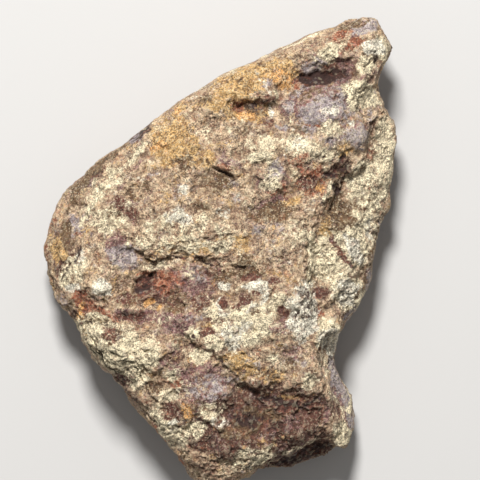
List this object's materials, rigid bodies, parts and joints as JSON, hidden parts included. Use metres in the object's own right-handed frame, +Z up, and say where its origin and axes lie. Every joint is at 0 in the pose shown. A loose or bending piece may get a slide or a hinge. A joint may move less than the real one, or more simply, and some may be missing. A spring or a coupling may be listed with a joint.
{
  "type": "meteorite fragment",
  "caption": "Palm-sized slab-like fragment of weathered stony meteorite: blunt top corner, rounded left lobe, stepped right shelf, tapered broken foot.",
  "frame": {"origin": "on the floor, under the middle of the stone's box, as it lies on its back", "axes": "+Z up out of the broken face, +Y towards the blunt top corner's end, +X towards the side with the lower shelf"},
  "size_m": [0.0706, 0.094, 0.025],
  "materials": {
    "weathered_crust": "rough weathered stone, mottled cream, ochre, rust brown and dark purple-brown"
  },
  "bodies": {
    "root": {"meteorite": "weathered_crust"}
  },
  "joints": []
}
